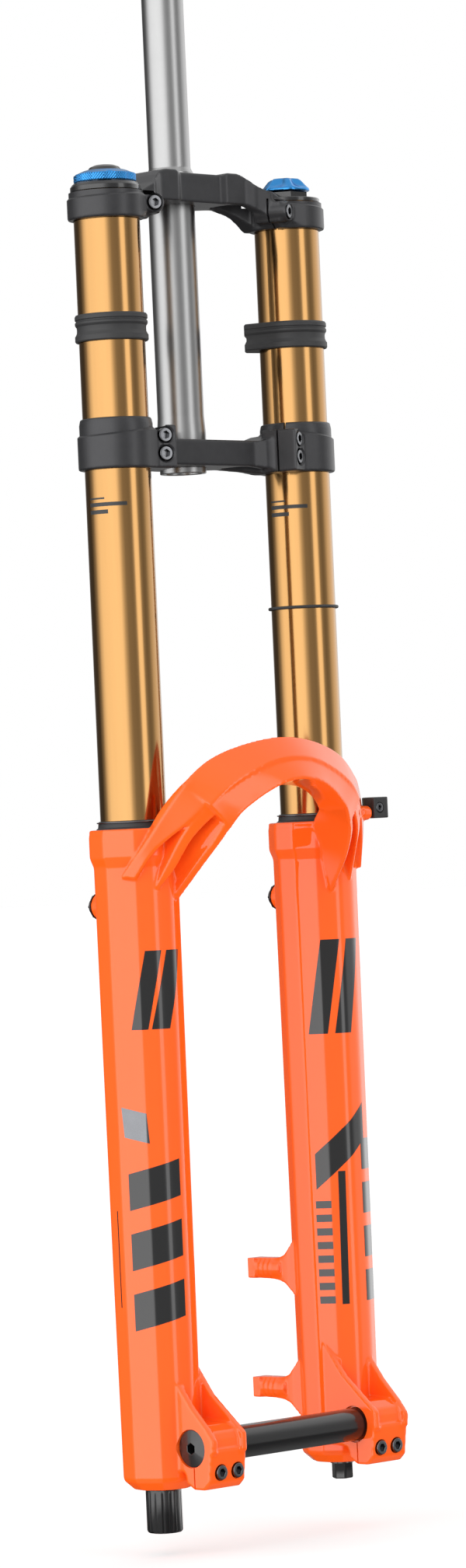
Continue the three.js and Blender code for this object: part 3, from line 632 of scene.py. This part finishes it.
def lower_crown():
    low, shoulder, top = -19.5, 5.5, 11.5
    blank = crown_blank([(0, 0), (38, 0), (47, 1.5), (56, 4.5), (66, shoulder), (77, shoulder), (77, low),
                         (56, low), (45, -17.5), (32, -15.8), (0, -15.8)])
    clamps, pockets = [], []
    for side in SIDES.values():
        clamps.append(lathe("clamp", [(0, low), (CLAMP_R, low), (CLAMP_R, shoulder, 1),
                                      (22.4, shoulder + 1, 0.6), (21.5, top), (0, top)], 0.8, 128,
                            (side * LEG_X, LEG_Y, 0)))
        clamps.append(at_slot(box(-7, 9, -CROWN_PINCH_REACH, 11, low, shoulder + 1), side))
        clamps.append(at_slot(ear_blend(CROWN_PINCH_REACH, low, shoulder), side))
        pockets.append(prism(sided(side, softened(ARM_POCKET, 3, 4, True)), low - 1, -4.5))
    cuts = crown_cuts(low, top, (0.4, -10.7), CROWN_PINCH_REACH - 5.4)
    cuts.append([slant(1.2, 6.4, 22.2, 20, side) for side in SIDES.values()])
    cuts[0].append(rod(STEERER_R + 0.3, low - 1, 5))
    return build_crown("lower_crown_forging", blank, clamps, pockets, cuts)


def upper_crown():
    low, top, hub_low, hub_top = 131.4, 148.2, 145.5, 164.5
    blank = crown_blank([(0, hub_top - 1.2), (20, hub_top - 1.2), (21.5, hub_top), (31, hub_top), (35, 163.3),
                         (40, 160.4), (47, 155), (53, 152.6), (60, 149.2), (66, top), (77, top), (77, low),
                         (57, low), (52, 136), (45, 141.5), (36, hub_low), (0, hub_low)], UPPER_PLAN)
    clamps, pockets = [], []
    for side in SIDES.values():
        clamps.append(lathe("clamp", [(0, low), (CLAMP_R, low), (CLAMP_R, top - 1), (22.6, top), (0, top)],
                            0.9, 128, (side * LEG_X, LEG_Y, 0)))
        clamps.append(at_slot(box(-5, 9, -CROWN_PINCH_REACH + 4, 10, low + 3, top - 1), side))
        clamps.append(at_slot(ear_blend(CROWN_PINCH_REACH - 1, low + 3, top - 3), side))
        clamps.append(at_slot(bolt_line([(0, -10), (6.6, -10), (6.2, CROWN_PINCH_REACH),
                                         (0, CROWN_PINCH_REACH)], 140.8), side))
        pockets.append(prism(sided(side, softened(ARM_POCKET, 3, 4, True)), low - 1, hub_low + 5))
    clamps.append(box(-11, 11, 16, 33, hub_low + 2, hub_top))
    cuts = crown_cuts(low, top, (140.8,), CROWN_PINCH_REACH - 5.4)
    cuts[0].append(rod(STEERER_R + 0.3, low, hub_top + 4))
    cuts += [[rod(22, top, top + 20, (side * LEG_X, LEG_Y, 0), None, 128) for side in SIDES.values()],
             [slant(top - 3.6, top - 0.6, 22.4, top + 0.5, side) for side in SIDES.values()],
             [box(-0.7, 0.7, 10, 40, low, hub_top + 5)],
             [turned("pinch", [(0, -12), (2.8, -12), (2.8, 5.5), (4.7, 5.5), (4.7, 20), (0, 20)], 48,
                     (0, 26, 156), (1, 0, 0))]
             + [rod(2.6, hub_top - 12, hub_top + 2, (x, -20.8, 0)) for x in (-13, 13)]]
    return build_crown("upper_crown_forging", blank, clamps, pockets, cuts)


keep(lower_crown(), "black_anodised", "uppers", "lower_crown")
keep(upper_crown(), "black_anodised", "uppers", "upper_crown")

for label, side in SIDES.items():
    s, c = sin(CROWN_PINCH_TURN), cos(CROWN_PINCH_TURN)
    for where, z in (("lower_high", 0.4), ("lower_low", -10.7), ("upper", 140.8)):
        head = (side * (CROWN_SLOT[0] + s * CROWN_PINCH_REACH), CROWN_SLOT[1] - c * CROWN_PINCH_REACH, z)
        crown, _, row = where.partition("_")
        cad = f"{crown}_crown_bolt_{label}" + (f"_{row}" if row else "")
        keep(cap_screw(f"crown_screw_{where}_{label}", head, (side * s, -c, 0), 4.2, 4.8, 2.4, 21, 4.2),
             "steel", "uppers", cad)
keep(cap_screw("steerer_screw", (10.6, 26, 156), (1, 0, 0), 4.2, 4.8, 2.4, 20, 4.2), "steel", "uppers",
     "steerer_clamp_bolt")


# ---- steerer, stanchions and what sits on them ---------------------------------------------------

keep(lathe("steerer_column", [(11.4, -19), (14.3, -19), (14.3, 0.2), (15, 0.5), (15, 6), (14.3, 16, 6),
                              (14.3, 166), (12.9, 169, 2), (12.9, 300), (11.4, 300)], 0.5, 128, closed=True),
     "brushed_alloy", "uppers", "steerer_tube")

for label, side in SIDES.items():
    axis = (side * LEG_X, LEG_Y, 0)
    keep(tube(f"stanchion_tube_{label}", 18.2, STANCHION_R, STANCHION_END, STANCHION_TOP, 0.7, 160, axis),
         "gold_anodised", "uppers", f"stanchion_{label}")

    pad_at = radians(135 if side > 0 else 45)

    def bumper_radius(r, pad):
        """Rubber sleeve that runs tangent into a thick flat pad on the side that meets the frame."""
        face, half_width = 29.2 + pad, 8.6
        corner = atan2(half_width, face)
        touch = corner + acos(r / hypot(face, half_width))

        def radius(a):
            off = abs((a - pad_at + pi) % tau - pi)
            return face / cos(off) if off < corner else r / cos(touch - off) if off < touch else r
        return radius

    ribbed = ((21.6, -0.8, 57.8), (22.2, 0, 58.5), (22.2, 0, 61.3), (21.6, -0.5, 62.2), (21.0, -1.2, 63.6),
              (20.9, -1.3, 65.6), (21.1, -1.1, 67.0), (21.6, -0.5, 67.6), (22.0, 0, 68.4), (22.0, 0, 69.6),
              (21.4, -0.6, 70.2), (21.4, -0.6, 70.8), (22.0, 0, 71.3), (22.0, 0, 73.2), (21.4, -0.8, 74.2))
    rows = [(20.3, 57.8)] + [(bumper_radius(r, pad), z) for r, pad, z in ribbed] + [(20.3, 74.2)]
    keep(turned(f"bumper_{label}", rows, 144, axis, None, True), "rubber", "uppers",
         f"frame_bumper_{label}", angle=18)

    keep(lathe(f"wiper_{label}", [(20.25, -242), (23.1, -242), (23.1, -235.9), (22.4, -235.2), (21.6, -234.6),
                                  (21.3, -232), (21.3, -231.2), (20.7, -230.7), (20.25, -230.7)], 0.25, 128,
               axis, None, True), "rubber", "lowers", f"wiper_seal_{label}")
    spring = turned(f"wiper_ring_{label}", [(21.9 + 0.42 * cos(t * tau / 8), -231.6 + 0.42 * sin(t * tau / 8))
                                            for t in range(8)], 128, axis, None, True)
    keep(spring, "steel", "lowers", f"wiper_spring_{label}", angle=80)

keep(turned("travel_ring_band", [(21.1 + 0.8 * cos(t * tau / 12), -103 + 0.95 * sin(t * tau / 12))
                                 for t in range(12)], 128, (LEG_X, LEG_Y, 0), None, True),
     "rubber", "travel_ring", "travel_o_ring", angle=80)


# ---- damper cap and compression knobs, right leg -------------------------------------------------

RIGHT, LEFT = (-LEG_X, LEG_Y, 0), (LEG_X, LEG_Y, 0)
keep(lathe("damper_cap", [(9, 128), (17.9, 128), (17.9, 149.3, 0), (20.3, 149.3, 0), (20.3, 148.4),
                          (21.3, 148.4), (21.3, 151.2), (19.8, 153.2), (5.4, 153.2), (5.4, 138), (9, 138)],
           0.4, 96, RIGHT, None, True),
     "gloss_black", "uppers", "damper_top_cap")


def knurl(base, deep, count, turn=0.0, part=0.5):
    """Radius of a grip with scallops between knurled lands."""
    def radius(a):
        phase = ((a + turn) * count / tau) % 1.0
        dip = sin(pi * phase / part) if phase < part else 0.0
        return base - deep * max(0.0, dip)
    return radius


def ridged(base, deep, count, teeth, low, turn=0.0):
    """The same grip with a fine diamond knurl on its lands."""
    plain = knurl(base, deep, count)
    return lambda a: plain(a) - low * (0.5 + 0.25 * (cos(a * teeth + turn) + cos(a * teeth - turn)))


grip = [(4.7, 154.2), (17.4, 154.2), (ridged(18.4, 0.9, 8, 72, 0), 154.0)]
grip += [(ridged(19.0, 0.9, 8, 72, 0.45, k * pi / 3), 154.5 + k * 0.32) for k in range(13)]
grip += [(ridged(18.4, 0.8, 8, 72, 0), 158.8), (17.4, 159.1), (15.2, 160.1), (13.0, 161.0), (12.6, 161.1),
         (11.2, 161.1), (11.0, 160.8), (11.0, 157.2), (4.7, 157.0)]
keep(turned("high_speed_knob_grip", grip, 528, RIGHT, None, True), "blue_anodised", "high_speed_knob",
     "high_speed_compression_knob")
keep(lathe("low_speed_dial_dome", [(0, 139), (4.1, 139), (4.1, 157.5), (10.4, 157.5), (10.4, 161.4, 0.5),
                                   (9.0, 163.2, 1.5), (6, 164.4, 2), (2.2, 164.9), (1.8, 164.2),
                                   (0, 164.1)], 0.3, 96, RIGHT),
     "gloss_black", "low_speed_dial", "low_speed_compression_dial")


# ---- air cap, left leg ---------------------------------------------------------------------------

flats = hexagon(24.4)
keep(turned("air_cap_base", [(6.4, 126), (17.9, 126), (17.9, 149.3), (20.3, 149.3), (20.3, 148.4),
                             (21.1, 148.4), (21.3, 148.7), (21.3, 150.6),
                             (20.9, 151), (14.6, 151), (flats, 151.2), (flats, 155.0),
                             (lambda a: flats(a) - 0.6, 155.6), (6.4, 155.6)], 144, LEFT, None, True),
     "gloss_black", "uppers", "air_top_cap")


def lobes(base, deep):
    """A six-lobed cap with hollow flanks."""
    return lambda a: base - deep * (0.5 - 0.5 * cos(6 * a)) ** 0.8


flanks = ((15.7, 0.9, 156.1), (15.8, 0.9, 156.6), (15.5, 1.2, 157.6), (14.6, 2.4, 158.4), (13.4, 3.6, 159.6),
          (12.0, 4.0, 161.2), (10.6, 3.6, 162.8), (8.8, 2.4, 163.9), (6.0, 1.0, 164.3))
cap = [(0, 159.6), (4.5, 159.4), (4.5, 156.0), (14.6, 155.9)]
cap += [(lobes(r, deep), z) for r, deep, z in flanks] + [(3, 164.4), (0, 164.4)]
keep(turned("air_cap_lobed", cap, 144, LEFT), "blue_anodised", "valve_cap", "air_valve_cap", angle=50)


# ---- axle, dropout screws, foot parts ------------------------------------------------------------

socket = hexagon(6)
axle = [(0, -70), (socket, -70.1), (socket, -84.8), (lambda a: socket(a) + 0.3, -85), (10.9, -83.8),
        (11.2, -83.5), (11.2, -83.3), (11.0, -83.2), (AXLE_R, -83.2), (AXLE_R, 83.9), (AXLE_R - 0.4, 84.2),
        (6.9, 84.2), (6.5, 83.8), (6.5, 62), (0, 62)]
keep(turned("through_axle", axle, 96, (0, AXLE_Y, AXLE_Z), (1, 0, 0)), "gloss_black", "lowers", "axle")
for label, side in SIDES.items():
    for row, x in zip(("inner", "outer"), PINCH_X):
        keep(cap_screw(f"pinch_screw_{label}_{row}", (side * x, PINCH_SEAT_Y - 4.3, PINCH_Z), (0, -1, 0),
                       4.3, 4, 2.3, 20, 4.4), "steel", "lowers", f"dropout_bolt_{label}_{row}")
    at = (side * LEG_X, LEG_Y, BLEEDER_Z)
    hexed = hexagon(13.2)
    rows = [(1.9, 23.6), (3.9, 23.6), (3.9, 32.9), (7.9, 32.9), (8.2, 33.1), (8.2, 33.6), (7.9, 33.8),
            (hexed, 33.9), (hexed, 35.4), (lambda a: hexed(a) - 1.2, 36.6), (5.4, 37.2), (4.6, 38.0),
            (2.9, 38.1), (2.7, 37.8), (2.7, 36.3), (1.9, 36.1)]
    keep(turned(f"bleeder_{label}", rows, 96, at, (0, 1, 0), True), "gloss_black", "lowers",
         f"bleeder_body_{label}")
    keep(lathe(f"bleeder_pin_{label}", [(0, 24.5), (1.5, 24.5), (1.5, 37.6), (2.4, 38.2), (2.4, 39.2, 0.8),
                                        (0, 39.2)], 0.2, 48, at, (0, 1, 0)),
         "gloss_black", f"bleeder_{label}", f"bleeder_button_{label}")

hx, hy, hz = HOSE_BOSS
clip = prism(softened([(hx + 0.8, hy - 5.5, 1), (hx + 13.5, hy - 5.5, 1.2), (hx + 15, hy + 2, 3),
                       (hx + 15, hy + 10, 3), (hx + 6, hy + 10, 3), (hx + 0.8, hy + 3, 3)], 1, 5, True),
             hz - 3.5, hz + 9.5)
clip = cast(clip, 0.4, 3)
for tool in (rod(3.2, hz - 10, hz + 20, (hx + 10.5, hy + 6, 0)),
             turned("seat", [(0, -12), (1.7, -12), (1.7, -2.6), (3.4, -2.6), (3.4, 10), (0, 10)], 48,
                    (hx + 6, hy - 5.5, hz + 3), (0, -1, 0))):
    boolean(clip, tool)
keep(clip, "black_plastic", "lowers", "hose_guide")
keep(cap_screw("hose_clip_screw", (hx + 6, hy - 5.5, hz + 3), (0, -1, 0), 3, 2, 1.4, 9.5, 2.6), "steel",
     "lowers", "hose_guide_bolt")

flutes = lambda r: lambda a: r - 0.35 * max(0.0, sin(a * 15)) ** 3
rows = [(0, -658.8), (8.8, -658.8), (9.8, -658.6), (flutes(10.5), -658.0), (flutes(10.9), -657.0),
        (flutes(10.9), -634.6), (10.9, -633.4), (10.7, -632.5), (9.4, -632.4), (9.4, -656.4), (0, -656.4)]
keep(turned("rebound_cover_cap", rows, 180, RIGHT), "gloss_black", "rebound_cover", "rebound_cap")
stud = hexagon(11.4)
keep(turned("air_foot_stud", [(0, -643.5), (4.6, -643.5), (lambda a: stud(a) - 0.5, -643.4), (stud, -642.7),
                              (stud, -634.2), (lambda a: stud(a) + 0.1, -634), (7.2, -633.8), (7.2, -632.6),
                              (4.6, -632.6), (4.6, -618), (0, -618)], 96, LEFT), "gloss_black", "lowers",
     "air_foot_bolt")


# ---- plain printed shapes on the legs and stanchions ---------------------------------------------

def film(name, slot, body, centre, radius, patches):
    """Thin four-sided patches on an upright tube. Each corner is a compass direction in degrees from
    +X towards +Y and a height; radius gives the tube's size at a direction and height."""
    steps, verts, faces = 24, [], []
    for corners in patches:
        for lift in (FILM_UNDER, FILM_OVER):
            for i in range(steps + 1):
                for j in range(steps + 1):
                    u, v = i / steps, j / steps
                    (a, z), (b, y), (c, x), (d, w) = corners
                    turn = radians((1 - u) * (1 - v) * a + u * (1 - v) * b + u * v * c + (1 - u) * v * d)
                    height = (1 - u) * (1 - v) * z + u * (1 - v) * y + u * v * x + (1 - u) * v * w
                    r = radius(turn, height) + lift
                    verts.append((centre[0] + r * cos(turn), centre[1] + r * sin(turn), height))
        row, size = steps + 1, (steps + 1) ** 2
        first = len(verts) - 2 * size
        quad = lambda i, j, layer: first + layer * size + i * row + j
        for i in range(steps):
            for j in range(steps):
                for layer in (0, 1):
                    faces.append([quad(i, j, layer), quad(i + 1, j, layer), quad(i + 1, j + 1, layer),
                                  quad(i, j + 1, layer)])
            for j in (0, steps):
                faces.append([quad(i, j, 0), quad(i + 1, j, 0), quad(i + 1, j, 1), quad(i, j, 1)])
                faces.append([quad(j, i, 0), quad(j, i + 1, 0), quad(j, i + 1, 1), quad(j, i, 1)])
    keep(make(name, verts, faces), slot, body, angle=60)


def slab(a0, a1, z0, z1, shift=0.0, drop=0.0):
    """A patch between two directions and two heights; shift turns its foot, drop lowers its far side."""
    return ((a0, z0), (a1, z0 - drop), (a1 + shift, z1 - drop), (a0 + shift, z1))


on_right = lambda turn, z: leg_scale(z) * leg_radius(turn)
on_left = lambda turn, z: leg_scale(z) * leg_radius(pi - turn)
film("stripes_right_leg", "gloss_black", "lowers", (-LEG_X, LEG_Y), on_right,
     [slab(234, 258, -309, -356, -24), slab(267, 296, -309, -356, -28), slab(169, 171, -464, -522)]
     + [slab(195, 274, -442 - k * 36, -464 - k * 36, 0, -8) for k in range(3)])
film("stripe_pale_right_leg", "steel", "lowers", (-LEG_X, LEG_Y), on_right,
     [slab(189, 226, -402, -420, 3, 4)])
film("stripes_left_leg", "gloss_black", "lowers", (LEG_X, LEG_Y), on_left,
     [slab(227, 255, -309, -367, -23), slab(267, 294, -309, -367, -24), slab(205, 289, -441, -463, 0, -30),
      slab(238, 249, -452, -534, -2)]
     + [slab(203, 226, -470 - k * 8.4, -474.5 - k * 8.4) for k in range(8)]
     + [slab(281, 312, -433 - k * 27, -452 - k * 27) for k in range(4)])
for label, side in SIDES.items():
    film(f"ticks_{label}_stanchion", "black_plastic", "uppers", (side * LEG_X, LEG_Y), lambda turn, z: 19.88,
         [slab(166, 200, -36.6, -37.6), slab(166, 240, -39.6, -41.9), slab(166, 206, -44, -46.4)])


# ---- everything inside keeps its CAD shape and gets its finish -----------------------------------

SLOT = {part["node"]: part["material_slot"] for part in frame["record"]["subparts"]}
for name, ob in frame["nodes"].items():
    ob.data.materials.clear()
    ob.data.materials.append(LOOK[SLOT[name]])


# ---- stage, light and camera ---------------------------------------------------------------------

FLOOR_Z = -0.672
bpy.ops.mesh.primitive_circle_add(vertices=96, radius=40, fill_type="NGON", location=(0, 0, FLOOR_Z))
floor = bpy.context.object
floor.name = "floor"
floor.data.materials.append(finish_of("floor_white", (0.62, 0.62, 0.62), 0.9, grain=3, tint=0.004, bump=0,
                                      specular=0.1))
floor.visible_glossy = False
floor_shader = floor.data.materials[0].node_tree.nodes["Principled BSDF"]
floor_shader.inputs["Emission Strength"].default_value = 0.42

EYE = Vector((-2374.3, -2434.3, -247.6)) * MM
AIM = Vector((30.84, 0, -210.48)) * MM
ROLL, LENS = radians(-2.583), 127.0379
VIEW_AZIMUTH = atan2(EYE.y, EYE.x)          # from the fork towards the camera
# Brightness of the studio round the horizon, by degrees to the camera's right.
STUDIO = ((-180, 0.5), (-150, 0.08), (-120, 0.1), (-104, 0.5), (-92, 1.6), (-78, 2.4), (-28, 2.65), (-8, 2.5),
          (4, 1.1), (14, 0.55), (36, 0.45), (43, 0.7), (48, 2.5), (61, 2.5), (67, 0.6), (80, 0.36), (92, 0.5),
          (106, 1.2), (120, 1.5), (140, 1.6), (160, 1.1), (180, 0.5))
world = bpy.data.worlds.new("studio")
bpy.context.scene.world = world
world.use_nodes = True
tree = world.node_tree
back = tree.nodes["Background"]
coord = tree.nodes.new("ShaderNodeTexCoord")
split = tree.nodes.new("ShaderNodeSeparateXYZ")
tree.links.new(coord.outputs["Generated"], split.inputs[0])


def maths(operation, a, b=None):
    made = tree.nodes.new("ShaderNodeMath")
    made.operation = operation
    for socket, value in zip(made.inputs, (a, b)):
        if value is None:
            continue
        if isinstance(value, (int, float)):
            socket.default_value = value
        else:
            tree.links.new(value, socket)
    return made.outputs[0]


turn_x = maths("ADD", maths("MULTIPLY", split.outputs["X"], cos(VIEW_AZIMUTH)),
               maths("MULTIPLY", split.outputs["Y"], sin(VIEW_AZIMUTH)))
turn_y = maths("SUBTRACT", maths("MULTIPLY", split.outputs["Y"], cos(VIEW_AZIMUTH)),
               maths("MULTIPLY", split.outputs["X"], sin(VIEW_AZIMUTH)))
around = maths("ADD", maths("DIVIDE", maths("ARCTAN2", turn_y, turn_x), tau), 0.5)
ramp = tree.nodes.new("ShaderNodeValToRGB")
stops = ramp.color_ramp.elements
while len(stops) < len(STUDIO):
    stops.new(0.5)
for stop, (angle, level) in zip(stops, STUDIO):
    stop.position = angle / 360 + 0.5
for stop, (angle, level) in zip(sorted(stops, key=lambda s: s.position), STUDIO):
    stop.color = (level, level, level, 1)
tree.links.new(around, ramp.inputs["Fac"])
# The studio darkens a little way below the horizon, as it does under a table top.
under = tree.nodes.new("ShaderNodeMapRange")
under.inputs["From Min"].default_value, under.inputs["From Max"].default_value = -0.32, -0.2
under.inputs["To Min"].default_value = 0.14
tree.links.new(split.outputs["Z"], under.inputs["Value"])
dimmed = tree.nodes.new("ShaderNodeMix")
dimmed.data_type, dimmed.blend_type = "RGBA", "MULTIPLY"
dimmed.inputs["Factor"].default_value = 1.0
tree.links.new(ramp.outputs["Color"], dimmed.inputs["A"])
tree.links.new(under.outputs["Result"], dimmed.inputs["B"])
height = tree.nodes.new("ShaderNodeMapRange")
height.interpolation_type = "SMOOTHSTEP"
height.inputs["From Min"].default_value, height.inputs["From Max"].default_value = 0.45, 0.85
tree.links.new(split.outputs["Z"], height.inputs["Value"])
blend = tree.nodes.new("ShaderNodeMix")
blend.data_type = "RGBA"
tree.links.new(height.outputs["Result"], blend.inputs["Factor"])
tree.links.new(dimmed.outputs["Result"], blend.inputs["A"])
blend.inputs["B"].default_value = (1.0, 1.0, 1.0, 1)
path = tree.nodes.new("ShaderNodeLightPath")
seen = tree.nodes.new("ShaderNodeMix")
seen.data_type = "RGBA"
tree.links.new(path.outputs["Is Camera Ray"], seen.inputs["Factor"])
tree.links.new(blend.outputs["Result"], seen.inputs["A"])
seen.inputs["B"].default_value = (1, 1, 1, 1)
tree.links.new(seen.outputs["Result"], back.inputs["Color"])
back.inputs["Strength"].default_value = 1.0
bpy.context.scene.view_settings.view_transform = "Standard"

camera = bpy.data.objects.new("camera", bpy.data.cameras.new("camera"))
bpy.context.collection.objects.link(camera)
camera.location = EYE
look = (AIM - EYE).to_track_quat("-Z", "Y")
camera.rotation_euler = (look.to_matrix() @ Matrix.Rotation(ROLL, 3, "Z")).to_euler()
camera.data.sensor_fit = "VERTICAL"
camera.data.sensor_height = 36
camera.data.lens = LENS
camera.data.clip_end = 100
bpy.context.scene.camera = camera
